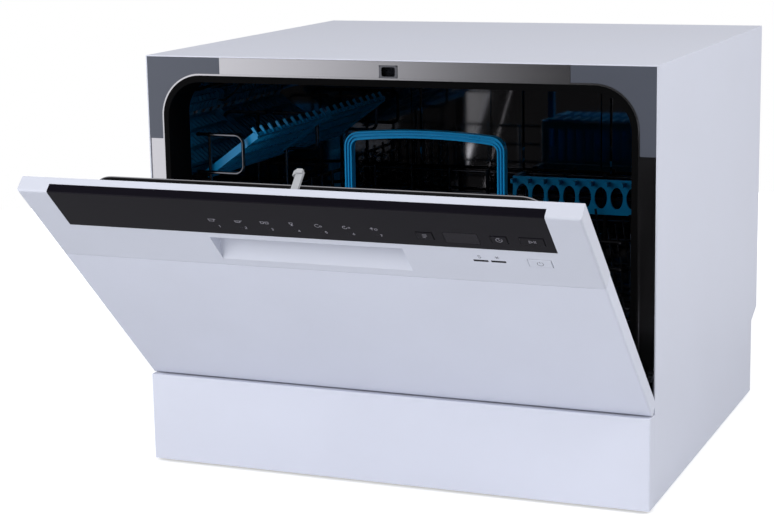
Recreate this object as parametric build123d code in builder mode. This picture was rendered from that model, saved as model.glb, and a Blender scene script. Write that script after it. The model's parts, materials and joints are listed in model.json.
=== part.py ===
from build123d import *
import os
from math import cos, radians, sin

# Countertop dishwasher for six place settings, drawn with its door part open.
# Millimetres. +X is to the right seen from the front, +Y goes to the back, +Z is up.
# The origin lies on the worktop, at the centre of the footprint with the door at that angle.
# Depths are measured back from the cabinet's front plane, and door sizes from its front face.

# ---------------------------------------------------------------- driving dimensions

# cabinet
width = 550
depth = 486
height = 438
sheet = 1.2  # painted steel sheet
lap = 0.2  # between sheets or mouldings that lie side by side
play = 0.3  # running clearance of what moves
foot_height = 6
foot_radius = 15
foot_inset_x = 40
foot_inset_y = 40
stem_radius = 4
skirt_low = 3  # lower edge of the side, back and front sheets
back_step = 28  # depth of the recess for the hoses
back_step_low = 89
back_step_high = 101
flange = 11  # width of the sheets' folded flanges
front_flange_low = 150
tray_height = 24
tray_wall = 2.5
stem_length = 10
boss_radius = 9
boss_height = 10

# plinth
plinth_front = 17  # how far plinth and closed door stand ahead of the cabinet
plinth_top = 97

# front of the tub
frame_inset = 1.5
tub_sheet = 1.0  # stainless sheet
opening_half = 256
opening_top = 418
opening_radius = 44
lip_width = 1.6
lip_height = 1.9
cover_thick = 1.4  # front strip and corner brackets
bracket_split = 189
bracket_low = 350.5
collar_depth = 45
seal_proud = 1  # of the gasket, ahead of the front

# tub
tub_half = 250
tub_top = 411
tub_radius = 38
tub_floor_z = 118
tub_back = 456

# door
door_width = 551
door_gap = 1.5
open_angle = 45.8  # angle of the door as drawn
pivot_in = 4.5  # hinge pin behind the door's face
pivot_up = 7.5  # hinge pin above the door's lower edge
panel_thick = 15.6
housing_thick = 16.6
seam_up = 231.5
seam_gap = 0.4
door_round = 2.2
liner_in = 14.4  # inner sheet behind the door's face
liner_half = 272.9
bulge_in = 45.5
bulge_half = 228
bulge_low = 26
bulge_high = 308  # stays below the gasket
bulge_radius = 24
bulge_round = 6

# control panel
moulding = 2.4  # wall of the plastic mouldings
fascia_half = 243
fascia_low = 285.5
fascia_thick = 1.6
fascia_fold = 9
recess_back = 4.0  # back of the housing behind the fascia
pocket_half = 96.5
pocket_low = 242
pocket_high = 278
pocket_depth = 12.2
pocket_lip = 3.2
pocket_reach = 5  # how far the grip reaches up behind its lip
board_in = 11.9
board_thick = 1.6
button_travel = 1.0
button_proud = 0.4
button_fit = 0.5
window_fit = 0.4
lamp_up = 297.5
lamp_first = -82.5
lamp_pitch = 26.8
lamp_count = 7
lamp_radius = 1.1
bar_up = 266
bar_size = (14, 3)
bar_spots = (168, 184.5)

# hinges
ear_x = 263
arm_x = 265.4
hinge_plate = 2
pin_radius = 1.8
eye_radius = 3.0
tail_reach = 25
tail_angle = 45  # of the tail above the level, door closed
spring_radius = 4
spring_wire = 0.8
spring_anchor_y = 184
tail_pin_radius = 1.5
slot_x = (257.5, 272)
slot_z = (99, 137)

# latch
keeper_half = 9.9
keeper_high = 432.4
keeper_hole_half = 7.3
keeper_hole_low = 421.3
keeper_hole_high = 430.9
keeper_depth = 37
hook_half = 3.5
hook_thick = 3
hook_end = 48  # depth of the hook's nose behind the door's face
hook_nose = 6
hook_head = 6.3  # reach of its sideways head
pawl_y = 10
pawl_z = 432.5
pawl_lift = 12  # angle to which the pawl is lifted as drawn
pawl_pin = 1.2

# detergent dispenser, on the door's inner face
dispenser_x = -30
dispenser_up = 130
flange_half_x = 75
flange_half_up = 50
well_half_x = 69  # body behind the flange
well_half_up = 44
cup_offset = -32
cup_size = (58, 66)
cup_depth = 15
lid_size = (66, 74)
lid_thick = 2.2
cap_offset = 42
cap_radius = 16

# rack
rack_half = 236
rack_front = 40
rack_back = 440
rack_round = 12
wire = 2.0  # radius of the frame wires
tine = 1.5  # radius of the tines
wire_bend = 12
weld_gap = 0.05
rim_heights = (258, 231, 205, 182)
rack_floor_z = 160
wire_pitch = 30.5  # between the wires across the rack, and between the tines
wire_count = 12
wire_first = 70
long_pitch = 50
tine_rows = ((110, -8), (160, -8), (212, -4))  # place and lean of each row
tine_height = 62
wheel_radius = 11
wheel_width = 8
wheel_z = 158
wheel_spots = (95, 380)
axle_radius = 2.5
clip_thick = 2.4

# rest for glass stems
rest_x = 95
rest_y = 402
rest_z = 240
rest_length = 200
rest_tall = 42
rest_pitch = 19.5
rest_slot = (7.7, 13)  # half sizes of its oval openings
rest_slots = 10
rest_tooth = 14  # how far its teeth stand forward

# cutlery basket
basket_half = 88
basket_front = 51
basket_depth = 92
basket_high = 279.5
basket_wall = 2
slot_size = (8, 45)  # openings in the basket's walls
slot_pitch = (13, 52)
mesh = 11  # openings in its floor
mesh_pitch = 16
handle_half = 90
handle_top = 355
handle_arch = 5  # rise of its top
handle_width = 8
handle_depth = 10
handle_flange = 1.5  # of its channel section
handle_groove = 2

# cup shelves
shelf_z = 304
shelf_raise = 2.5  # of its slats above the hinge
shelf_reach = 75
shelf_tilt = 36
shelf_posts = (55, 246, 424)  # uprights between which the shelves hang
prong_pitch = 19.6
prong_height = 9
loop_x = (-245, -190)  # wire loops on the uprights
loop_z = (308, 349)

# washing system
arm_y = 250
arm_reach = 200
arm_low = 131.5
arm_high = 145
jets = (-175, -140, -105, -70, -40, 52, 88, 122, 158, 186)
jet_radius = 1.6
filter_spot = (-95, 175)
salt_spot = (-195, 110)
salt_neck = 27  # radius
hub_radius = 12
hub_bore = 10
pivot_radius = 6  # of the spray arm's pivot
arm_hub = 17
feed_low = 98
filter_hole = 46
sump_low = 40
sump_radius = 50
cup_radius = 33
cup_low = 74
cup_wall = 2
pipe = 11
pump_y = 277
pump_z = 58

# rear connections
inlet_x = 205
inlet_z = 50
inlet_radius = 13.2  # G 3/4 male thread
inlet_length = 15
drain_x = 120
drain_z = 45
drain_radius = 10
drain_length = 24
gland_x = -200
gland_z = 45

# ---------------------------------------------------------------- frames of reference

door_bottom = plinth_top + door_gap
door_length = height - door_bottom
side_x = width / 2
side_inner = side_x - sheet
side_top = height - sheet
pivot_y = pivot_in - plinth_front
pivot_z = door_bottom + pivot_up
turn = radians(open_angle)
door_reach = pivot_y - pivot_in * cos(turn) - (door_length - pivot_up) * sin(turn)
front_y = -(depth + door_reach) / 2
inward = Vector(0, cos(turn), sin(turn))
upward = Vector(0, -sin(turn), cos(turn))
hinge_axis = Vector(0, front_y + pivot_y, pivot_z)
door_corner = hinge_axis - inward * pivot_in - upward * pivot_up
cabinet = Plane(origin=(0, front_y, 0))
door = Plane(origin=door_corner, x_dir=(1, 0, 0), z_dir=upward)
low = Align.MIN
mid = Align.CENTER
high = Align.MAX
stand = (mid, mid, low)
back_from = (mid, low, low)


def across(y):
    """Plane facing the front at a depth y: local x to the right, local y up."""
    return Plane(origin=(0, front_y + y, 0), x_dir=(1, 0, 0), z_dir=(0, -1, 0))


def level(z):
    """Level plane: local x to the right, local y the depth."""
    return Plane(origin=(0, front_y, z))


def beside(x):
    """Upright plane facing right: local x the depth, local y up."""
    return Plane(origin=(x, front_y, 0), x_dir=(0, 1, 0), z_dir=(1, 0, 0))


def door_at(inset):
    """Plane facing out of the door at an inset behind its face: local y up the door."""
    return Plane(origin=door_corner + inward * inset, x_dir=(1, 0, 0), z_dir=-inward)


def door_beside(x):
    """Plane across the door facing right: local x the inset, local y up the door."""
    return Plane(origin=door_corner + Vector(x, 0, 0), x_dir=inward, z_dir=(1, 0, 0))


os.makedirs("parts", exist_ok=True)


def save(shape, name):
    """Write one sub-part, a single piece or a group of like pieces, as its own node."""
    shape.label = name
    export_step(shape, f"parts/{name}.step")


def save_group(pieces, name):
    save(Compound(children=pieces), name)


def arch(half, top, radius):
    """Face from the tub floor up, with rounded upper corners."""
    with BuildSketch() as face:
        with BuildLine():
            FilletPolyline(
                (-half, tub_floor_z), (-half, top), (half, top), (half, tub_floor_z), radius=radius
            )
            Line((half, tub_floor_z), (-half, tub_floor_z))
        make_face()
    return face.sketch


def hose_along(points, radius, bend):
    """Round hose through the points, in depths behind the front plane, with bends."""
    with BuildPart() as hose:
        with BuildLine(cabinet) as route:
            FilletPolyline(*points, radius=bend)
        with BuildSketch(Plane(origin=route.line @ 0, z_dir=route.line % 0)):
            Circle(radius)
        sweep(path=route.line)
    return hose.part


def bent_wire(points, bend, closed=False):
    """Frame wire through the points: its straight lengths and bends, which meet face to face."""
    with BuildLine(cabinet) as route:
        FilletPolyline(*points, radius=bend, close=closed)
    pieces = []
    for stretch in route.line.edges():
        with BuildPart() as piece:
            with BuildSketch(Plane(origin=stretch @ 0, z_dir=stretch % 0)):
                Circle(wire)
            sweep(path=stretch)
        pieces.append(piece.part)
    return pieces


# ---------------------------------------------------------------- cabinet: base


def make_foot(x, y):
    with BuildPart(cabinet) as foot:
        with Locations((x, y, 0)):
            Cylinder(foot_radius, foot_height, align=stand)
        fillet(foot.edges().group_by(Axis.Z)[0], 1)
        with Locations((x, y, foot_height)):
            Cylinder(stem_radius, stem_length, align=stand)
    return foot.part


tray_half = side_inner - 2 * lap
tray_front = frame_inset + tub_sheet + lap
tray_back = depth - back_step - sheet - lap
tray_depth = tray_back - tray_front
tray_floor = foot_height + tray_wall
foot_x = side_x - foot_inset_x
foot_back = tray_back - foot_inset_y
foot_spots = [(x, y) for x in (-foot_x, foot_x) for y in (foot_inset_y, foot_back)]
save_group([make_foot(x, y) for x, y in foot_spots], "feet")

with BuildPart(cabinet) as base_tray:
    with Locations((0, tray_front, foot_height)):
        Box(2 * tray_half, tray_depth, tray_height, align=back_from)
    with Locations((0, tray_front + tray_wall, tray_floor)):
        Box(
            2 * (tray_half - tray_wall),
            tray_depth - 2 * tray_wall,
            tray_height,
            align=back_from,
            mode=Mode.SUBTRACT,
        )
    with Locations(*[(x, y, tray_floor) for x, y in foot_spots]):
        Cylinder(boss_radius, boss_height, align=stand)
    with Locations(*[(x, y, foot_height) for x, y in foot_spots]):
        Cylinder(stem_radius + lap, stem_length + lap, align=stand, mode=Mode.SUBTRACT)
    for rib_x in (-60, 60):
        with Locations((rib_x, tray_front, tray_floor)):
            Box(tray_wall, tray_depth, 4, align=back_from)
save(base_tray.part, "base_tray")

# ---------------------------------------------------------------- cabinet: outer sheets


def make_side_panel(side):
    """Outer sheet with folded flanges; side is -1 on the left and 1 on the right."""
    flange_x = side * (side_inner - flange / 2)
    with BuildPart(cabinet) as panel:
        with BuildSketch(beside(side * side_x)):
            with BuildLine():
                Polyline(
                    (0, skirt_low),
                    (0, side_top),
                    (depth, side_top),
                    (depth, back_step_high),
                    (depth - back_step, back_step_low),
                    (depth - back_step, skirt_low),
                    close=True,
                )
            make_face()
        extrude(amount=-side * sheet)
        with Locations((flange_x, tray_front, front_flange_low)):
            Box(flange, sheet, side_top - front_flange_low - flange, align=back_from)
        with Locations((flange_x, depth - 2 * sheet - lap, back_step_high + 5)):
            Box(flange, sheet, side_top - back_step_high - 5, align=back_from)
        with Locations((flange_x, tray_front, skirt_low)):
            Box(flange, tray_depth, sheet, align=back_from)
    return panel.part


save(make_side_panel(-1), "side_panel_left")
save(make_side_panel(1), "side_panel_right")

with BuildPart(cabinet) as top_panel:
    with Locations((0, 0, side_top)):
        Box(width, depth, sheet, align=back_from)
    fillet(top_panel.edges().group_by(Axis.Z)[-1], 0.8)
    for side in (-1, 1):
        with Locations((side * (side_inner - lap - sheet / 2), flange, side_top - flange)):
            Box(sheet, depth - 2 * flange, flange, align=back_from)
save(top_panel.part, "top_panel")

with BuildPart(cabinet) as back_panel:
    with BuildSketch(beside(0)):
        with BuildLine():
            Polyline(
                (depth, side_top),
                (depth, back_step_high),
                (depth - back_step, back_step_low),
                (depth - back_step - sheet, back_step_low),
                (depth - back_step - sheet, back_step_low + sheet),
                (depth - sheet, back_step_high + sheet),
                (depth - sheet, side_top),
                close=True,
            )
        make_face()
    extrude(amount=side_inner - lap, both=True)

with BuildPart(cabinet) as hose_panel:
    with Locations((0, depth - back_step, skirt_low)):
        Box(
            2 * (side_inner - lap),
            sheet,
            back_step_low - lap - skirt_low,
            align=(mid, high, low),
        )
    with BuildSketch(across(depth)):
        with Locations((inlet_x, inlet_z)):
            Circle(inlet_radius + 1)
        with Locations((drain_x, drain_z)):
            Circle(drain_radius + 1)
        with Locations((gland_x, gland_z)):
            Rectangle(24, 18)
    extrude(amount=back_step * 2, both=True, mode=Mode.SUBTRACT)
save_group([back_panel.part, hose_panel.part], "back_panel")

tab_x = 150
with BuildPart(cabinet) as plinth:
    with Locations((0, -plinth_front, skirt_low)):
        Box(width, plinth_front - lap, plinth_top - skirt_low, align=back_from)
    front_face = plinth.faces().sort_by(Axis.Y)[0]
    fillet(front_face.edges().filter_by(Axis.Z), door_round)
    fillet(plinth.faces().sort_by(Axis.Y)[0].edges().sort_by(Axis.Z)[-1], 1.0)
    with Locations((0, sheet - plinth_front, skirt_low - 1)):
        Box(
            width - 2 * sheet,
            plinth_front,
            plinth_top - skirt_low - sheet + 1,
            align=back_from,
            mode=Mode.SUBTRACT,
        )
    for side in (-1, 1):
        with Locations((side * tab_x, sheet - plinth_front, 30)):
            Box(14, plinth_front + frame_inset - sheet, 20, align=back_from)
save(plinth.part, "plinth")

# ---------------------------------------------------------------- front of the tub

keeper_low = opening_top + lip_width + play
frame_half = side_inner - lap
frame_low = foot_height + 4
frame_top = side_top - lap

with BuildPart(cabinet) as front_frame:
    with BuildSketch(across(frame_inset)):
        with Locations((0, frame_low)):
            Rectangle(2 * frame_half, frame_top - frame_low, align=(mid, low))
        add(arch(opening_half, opening_top, opening_radius), mode=Mode.SUBTRACT)
        for side in (-1, 1):
            with Locations((side * sum(slot_x) / 2, slot_z[0])):
                Rectangle(
                    slot_x[1] - slot_x[0],
                    slot_z[1] - slot_z[0],
                    align=(mid, low),
                    mode=Mode.SUBTRACT,
                )
        with Locations((0, keeper_low - lap)):
            Rectangle(
                2 * (keeper_half + lap),
                keeper_high - keeper_low + 2 * lap,
                align=(mid, low),
                mode=Mode.SUBTRACT,
            )
    extrude(amount=-tub_sheet)
    outer = [opening_half + tub_sheet, opening_top + tub_sheet, opening_radius + tub_sheet]
    with BuildSketch(across(frame_inset)):
        add(arch(*outer))
        add(arch(opening_half, opening_top, opening_radius), mode=Mode.SUBTRACT)
    extrude(amount=-(collar_depth - frame_inset))
    with BuildSketch(across(collar_depth)):
        add(arch(*outer))
        add(arch(tub_half, tub_top, tub_radius), mode=Mode.SUBTRACT)
    extrude(amount=-tub_sheet)
    with BuildSketch(across(frame_inset)):
        add(arch(opening_half + lip_width, opening_top + lip_width, opening_radius + lip_width))
        add(arch(opening_half, opening_top, opening_radius), mode=Mode.SUBTRACT)
    extrude(amount=lip_height)
save(front_frame.part, "front_frame")


def cover_outline(low_z, x_from, x_to):
    """Part of the front above low_z between two places, outside the chrome lip."""
    clear = lip_width + lap
    with BuildSketch() as face:
        with Locations(((x_from + x_to) / 2, low_z)):
            Rectangle(abs(x_to - x_from), frame_top - low_z, align=(mid, low))
        add(
            arch(opening_half + clear, opening_top + clear, opening_radius + clear),
            mode=Mode.SUBTRACT,
        )
    return face.sketch


def make_corner_bracket(side):
    with BuildPart() as bracket:
        with BuildSketch(across(0)):
            add(cover_outline(bracket_low, side * bracket_split, side * frame_half))
        extrude(amount=-cover_thick)
        fillet(bracket.edges().filter_by(Axis.Y).group_by(Axis.Z)[0], 1)
    return bracket.part


save_group([make_corner_bracket(side) for side in (-1, 1)], "corner_brackets")

with BuildPart() as front_strip:
    with BuildSketch(across(0)):
        strip_half = bracket_split - lap
        add(cover_outline(tub_top, -strip_half, strip_half))
        with Locations((0, keeper_low - lap)):
            Rectangle(
                2 * (keeper_half + lap),
                keeper_high - keeper_low + 2 * lap,
                align=(mid, low),
                mode=Mode.SUBTRACT,
            )
    extrude(amount=-cover_thick)
save(front_strip.part, "front_strip")

# ---------------------------------------------------------------- latch

keeper_roof = side_top - lap
with BuildPart(cabinet) as latch_keeper:
    with Locations((0, -0.5, keeper_low)):
        Box(2 * keeper_half, 0.5 + cover_thick, keeper_high - keeper_low, align=back_from)
    fillet(latch_keeper.edges().filter_by(Axis.Y), 2.5)
    with Locations((0, cover_thick, keeper_low)):
        Box(2 * keeper_half, 1.6, keeper_high - keeper_low, align=back_from)
    with Locations((0, cover_thick + 1.6, keeper_low)):
        Box(2 * keeper_half, keeper_depth, keeper_roof - keeper_low, align=back_from)
    with Locations((0, cover_thick + 3.2, keeper_hole_low)):
        Box(
            2 * keeper_hole_half,
            keeper_depth - 3.2,
            keeper_roof - keeper_hole_low + 1,
            align=back_from,
            mode=Mode.SUBTRACT,
        )
    with BuildSketch(across(-1)):
        with Locations((0, (keeper_hole_low + keeper_hole_high) / 2)):
            RectangleRounded(2 * keeper_hole_half, keeper_hole_high - keeper_hole_low, 2)
    extrude(amount=-10, mode=Mode.SUBTRACT)
    with Locations((0, pawl_y, pawl_z)):
        Cylinder(pawl_pin + lap, 30, rotation=(0, 90, 0), mode=Mode.SUBTRACT)
save(latch_keeper.part, "latch_keeper")

pawl_plane = Plane(
    origin=(0, front_y + pawl_y, pawl_z),
    x_dir=(0, cos(radians(pawl_lift)), sin(radians(pawl_lift))),
    z_dir=(1, 0, 0),
)
with BuildPart(pawl_plane) as latch_pawl:
    with BuildSketch(pawl_plane):
        with BuildLine():
            Polyline(
                (-2, -1.8),
                (11, -3),
                (11, -6.6),
                (14.3, -6.6),
                (16, -2.2),
                (16, 0),
                (-2, 1.8),
                close=True,
            )
        make_face()
    extrude(amount=3, both=True)
    Cylinder(pawl_pin, 2 * (keeper_hole_half + 1.5))
save(latch_pawl.part, "latch_pawl")

# ---------------------------------------------------------------- tub

with BuildPart() as tub_wrapper:
    with BuildSketch(across(collar_depth + tub_sheet)):
        add(arch(tub_half + tub_sheet, tub_top + tub_sheet, tub_radius + tub_sheet))
        add(arch(tub_half, tub_top, tub_radius), mode=Mode.SUBTRACT)
    extrude(amount=-(tub_back - collar_depth - tub_sheet))
save(tub_wrapper.part, "tub_wrapper")

rib_depth = 3
with BuildPart(cabinet) as tub_back_wall:
    with BuildSketch(across(tub_back)):
        add(arch(tub_half + tub_sheet, tub_top + tub_sheet, tub_radius + tub_sheet))
    extrude(amount=-tub_sheet)
    for rib_x, rib_width in ((-150, 14), (-30, 44), (96, 14), (150, 44)):
        with Locations((rib_x, tub_back, 150)):
            Box(rib_width, rib_depth, 240, align=(mid, high, low))
    chamfer(tub_back_wall.faces().filter_by(Axis.Y).group_by(Axis.Y)[0].edges(), 2)
save(tub_back_wall.part, "tub_back_wall")

with BuildPart(cabinet) as tub_floor:
    with Locations((0, tray_front, tub_floor_z)):
        Box(2 * opening_half, tub_back + tub_sheet - tray_front, tub_sheet, align=(mid, low, high))
    with Locations((*filter_spot, tub_floor_z)):
        Cylinder(filter_hole, 10, mode=Mode.SUBTRACT)
    with Locations((0, arm_y, tub_floor_z)):
        Cylinder(hub_radius + lap, 10, mode=Mode.SUBTRACT)
    with Locations((*salt_spot, tub_floor_z)):
        Cylinder(salt_neck + lap, 10, mode=Mode.SUBTRACT)
save(tub_floor.part, "tub_floor")

with BuildPart() as door_gasket:
    with BuildSketch(across(-seal_proud)):
        add(arch(opening_half - lap, opening_top - lap, opening_radius - lap))
        add(arch(tub_half, tub_top, tub_radius), mode=Mode.SUBTRACT)
    extrude(amount=-(collar_depth + seal_proud - lap))

with BuildPart(cabinet) as sill_seal:
    with Locations((0, tray_front, tub_floor_z)):
        Box(2 * (tub_half - 1), 10, 5, align=back_from)
    fillet(sill_seal.edges().filter_by(Axis.X).group_by(Axis.Z)[-1], 1.5)
save_group([door_gasket.part, sill_seal.part], "door_seals")

# ---------------------------------------------------------------- hinges and door springs


def make_hinge_bracket(side):
    """Fixed plate behind the front frame, with the ear and pin that carry the door."""
    plate_low = tray_floor
    plate_front = tray_front + tray_wall + lap
    tail_z = pivot_z + tail_reach
    with BuildPart(cabinet) as bracket:
        with BuildSketch(beside(side * ear_x)):
            with BuildLine():
                Polyline(
                    (plate_front, plate_low),
                    (60, plate_low),
                    (60, tail_z - 8),
                    (spring_anchor_y + 6, tail_z - 8),
                    (spring_anchor_y + 6, tail_z + 8),
                    (plate_front, tail_z + 8),
                    close=True,
                )
            make_face()
            with Locations((pivot_y, pivot_z)):
                Circle(eye_radius)
                Rectangle(plate_front - pivot_y + 1, 2 * eye_radius, align=(low, mid))
        extrude(amount=hinge_plate / 2, both=True)
        with Locations((side * (ear_x - 6), plate_front, plate_low)):
            Box(11, 50, 2, align=back_from)
        with Locations((side * (ear_x + 1.5), pivot_y, pivot_z)):
            Cylinder(pin_radius, 7, rotation=(0, 90, 0))
        with Locations((side * (ear_x + 4.6), pivot_y, pivot_z)):
            Cylinder(pin_radius + 0.7, 0.8, rotation=(0, 90, 0))
        with Locations((side * (ear_x + 4), spring_anchor_y, tail_z)):
            Cylinder(tail_pin_radius, 8, rotation=(0, 90, 0))
    return bracket.part


def make_hinge_arm(side):
    """Plate inside the door, with the eye on the pin and the tail that the spring pulls."""
    tail = (
        pivot_in + tail_reach * cos(radians(tail_angle)),
        pivot_up + tail_reach * sin(radians(tail_angle)),
    )
    plate_x = side * arm_x
    with BuildPart(door) as arm:
        with BuildSketch(door_beside(plate_x)):
            with Locations((pivot_in, pivot_up)):
                Circle(eye_radius)
            with Locations(tail):
                Circle(eye_radius + 0.8)
            make_hull()
            with Locations((sheet + lap, pivot_up + 1)):
                Rectangle(liner_in - sheet - 3 * lap, 112, align=(low, low))
            with Locations((pivot_in, pivot_up)):
                Circle(pin_radius + 0.1, mode=Mode.SUBTRACT)
        extrude(amount=hinge_plate / 2, both=True)
        with Locations((side * (arm_x - 8), liner_in - lap, 45)):
            Box(16, 1.5, 75, align=(mid, high, low))
        with Locations((side * (arm_x + 2.6), tail[0], tail[1])):
            Cylinder(tail_pin_radius, 5.2, rotation=(0, 90, 0))
    return arm.part


def make_door_spring(side):
    """Close-wound tension spring between the hinge arm's tail and its anchor."""
    tail_turn = radians(tail_angle + open_angle)
    front = pivot_y + tail_reach * cos(tail_turn)
    axis_z = pivot_z + tail_reach
    axis_x = side * (arm_x + 3.6)
    first = tray_front + 4
    last = spring_anchor_y - 60
    coils = int((last - first) / (2 * spring_wire))
    ring = tail_pin_radius + 0.3 + spring_wire
    with BuildPart(cabinet) as spring:
        with BuildSketch(Plane(origin=(axis_x, front_y, axis_z), x_dir=(0, 1, 0), z_dir=(1, 0, 0))):
            with Locations((first, 0)):
                Rectangle(coils * 2 * spring_wire, spring_radius - spring_wire, align=(low, low))
            with Locations(*[(first + (2 * i + 1) * spring_wire, 0) for i in range(0, coils, 4)]):
                Rectangle(4 * spring_wire, spring_radius - spring_wire / 2, align=(mid, low))
        revolve(axis=Axis((axis_x, 0, axis_z), (0, 1, 0)))
        for eye_y, coil_end, away in ((front, first, 1), (spring_anchor_y, last, -1)):
            with Locations((axis_x, eye_y, axis_z)):
                Torus(ring, spring_wire, rotation=(0, 90, 0))
            hook_from = eye_y + away * ring
            hook_to = coil_end + away * 3
            with Locations((axis_x, (hook_from + hook_to) / 2, axis_z)):
                Cylinder(spring_wire, abs(hook_to - hook_from), rotation=(90, 0, 0))
    return spring.part


save_group([make_hinge_bracket(side) for side in (-1, 1)], "hinge_brackets")
save_group([make_hinge_arm(side) for side in (-1, 1)], "hinge_arms")
save_group([make_door_spring(side) for side in (-1, 1)], "door_springs")

# ---------------------------------------------------------------- door shells

outward_axis = Axis(door_corner, -inward)
upward_axis = Axis(door_corner, upward)
panel_top = seam_up - seam_gap / 2
housing_low = seam_up + seam_gap / 2
corner_cut = 3

with BuildPart(door) as door_outer_panel:
    Box(door_width, panel_thick, panel_top, align=back_from)
    face_edges = door_outer_panel.faces().sort_by(outward_axis)[-1].edges()
    fillet(face_edges.sort_by(upward_axis)[:-1], door_round)
    back_edges = door_outer_panel.faces().sort_by(outward_axis)[0].edges()
    chamfer(back_edges.sort_by(upward_axis)[0], corner_cut)
    with Locations((0, sheet, sheet)):
        Box(
            door_width - 2 * sheet,
            panel_thick,
            panel_top - 2 * sheet,
            align=back_from,
            mode=Mode.SUBTRACT,
        )
    with Locations((0, liner_in - lap - 2, panel_top - 2 * sheet)):
        Box(door_width - 2 * sheet, 10, 10, align=back_from, mode=Mode.SUBTRACT)
    for side in (-1, 1):
        with Locations((side * ear_x, sheet, -1)):
            Box(hinge_plate + 1.6, 30, 4, align=back_from, mode=Mode.SUBTRACT)
save(door_outer_panel.part, "door_outer_panel")

slot_high = 34
hook_low = keeper_hole_low + 1 - door_bottom
with BuildPart(door) as door_liner:
    with BuildSketch(door_at(liner_in)):
        with Locations((0, bulge_low)):
            Rectangle(2 * bulge_half, bulge_high - bulge_low, align=(mid, low))
    extrude(amount=-(bulge_in - liner_in))
    fillet(
        door_liner.edges().filter_by(Axis(door_corner, inward)),
        bulge_radius,
    )
    fillet(door_liner.faces().sort_by(outward_axis)[0].edges(), bulge_round)
    offset(amount=-tub_sheet, openings=door_liner.faces().sort_by(outward_axis)[-1])
    with BuildSketch(door_at(liner_in)):
        with Locations((0, corner_cut)):
            Rectangle(2 * liner_half, door_length - moulding - 2 - corner_cut, align=(mid, low))
        with Locations((0, (bulge_low + bulge_high) / 2)):
            RectangleRounded(
                2 * (bulge_half - tub_sheet / 2),
                bulge_high - bulge_low - tub_sheet,
                bulge_radius - tub_sheet / 2,
                mode=Mode.SUBTRACT,
            )
        for side in (-1, 1):
            with Locations((side * (ear_x + 4.2), 0)):
                Rectangle(13.4, slot_high, align=(mid, low), mode=Mode.SUBTRACT)
        with Locations((0, hook_low + hook_thick / 2)):
            Rectangle(2 * hook_half + 1, hook_thick + 2, mode=Mode.SUBTRACT)
    extrude(amount=-tub_sheet)
    with Locations((dispenser_x, bulge_in - 4, dispenser_up)):
        Box(
            2 * (well_half_x + 1),
            10,
            2 * (well_half_up + 1),
            align=(mid, low, mid),
            mode=Mode.SUBTRACT,
        )
save(door_liner.part, "door_liner")

with BuildPart(door) as door_felt:
    with Locations((0, sheet + lap, 12)):
        Box(2 * 225, 10, 210, align=back_from)
save(door_felt.part, "door_felt")

# ---------------------------------------------------------------- control panel

button_spots = {
    "button_program": (125, 301.5, 16, 11.5, recess_back),
    "button_delay": (193.8, 301.5, 15.5, 11.5, recess_back),
    "button_start": (223.8, 301.5, 22.5, 12, recess_back),
    "button_power": (223.2, 267.3, 22.3, 12.5, moulding),
}
display_spot = (158.8, 300.4)
display_size = (32.5, 16.7)
lamp_spots = [(lamp_first + i * lamp_pitch, lamp_up) for i in range(lamp_count)]
board_spans = ((-100, 262, 289, 315), (104, 262, 256, 333))
boss_spots = ((-92, 309), (110, 262), (256, 262), (256, 326))


def button_holes():
    """Cut-outs for the four buttons, as a face on the door's front plane."""
    with BuildSketch() as holes:
        for x, up, wide, tall, _ in button_spots.values():
            with Locations((x, up)):
                Rectangle(wide, tall)
    return holes.sketch


def light_holes():
    """Cut-outs for the display, the two indicator bars and the programme lamps."""
    with BuildSketch() as holes:
        with Locations(display_spot):
            Rectangle(*display_size)
        with Locations(*[(x, bar_up) for x in bar_spots]):
            Rectangle(*bar_size)
        with Locations(*lamp_spots):
            Circle(lamp_radius)
    return holes.sketch


housing_height = door_length - housing_low
with BuildPart(door) as control_housing:
    with Locations((0, 0, housing_low)):
        Box(door_width, housing_thick, housing_height, align=back_from)
    face_edges = control_housing.faces().sort_by(outward_axis)[-1].edges()
    fillet(face_edges.sort_by(upward_axis)[1:], door_round)
    hollow_top = door_length - moulding - fascia_thick
    for hollow_in, from_up, to_up in (
        (moulding, housing_low + moulding, fascia_low - 2),
        (recess_back, fascia_low - 2, hollow_top),
    ):
        with Locations((0, hollow_in, from_up)):
            Box(
                door_width - 2 * moulding,
                housing_thick,
                to_up - from_up,
                align=back_from,
                mode=Mode.SUBTRACT,
            )
    with Locations((0, liner_in - lap, housing_low - 1)):
        Box(door_width - 2 * moulding, 10, 10, align=back_from, mode=Mode.SUBTRACT)
    with Locations((0, fascia_thick + lap / 2, fascia_low - lap)):
        Box(
            2 * (fascia_half + lap),
            10,
            housing_height,
            align=(mid, high, low),
            mode=Mode.SUBTRACT,
        )
    with Locations((0, 0, door_length - fascia_thick - lap / 2)):
        Box(2 * (fascia_half + lap), fascia_fold + lap, 10, align=back_from, mode=Mode.SUBTRACT)
    with Locations((0, moulding, pocket_low - moulding)):
        Box(
            2 * (pocket_half + moulding),
            pocket_depth + moulding - 0.4 - moulding,
            pocket_high + pocket_reach + 4 - pocket_low + moulding,
            align=back_from,
        )
    with BuildSketch(door_beside(0)):
        with BuildLine():
            Polyline(
                (-1, pocket_low),
                (0, pocket_low),
                (pocket_depth, pocket_low + 20),
                (pocket_depth, pocket_high + pocket_reach),
                (pocket_lip, pocket_high + pocket_reach),
                (pocket_lip, pocket_high),
                (-1, pocket_high),
                close=True,
            )
        make_face()
    extrude(amount=pocket_half, both=True, mode=Mode.SUBTRACT)
    with Locations(*[(x, moulding, up) for x, up in boss_spots]):
        Cylinder(3.5, board_in - moulding, rotation=(-90, 0, 0), align=stand)
    with BuildSketch(door_at(-1)):
        add(button_holes())
        add(light_holes())
    extrude(amount=-(recess_back + 3), mode=Mode.SUBTRACT)
save(control_housing.part, "control_housing")

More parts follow.
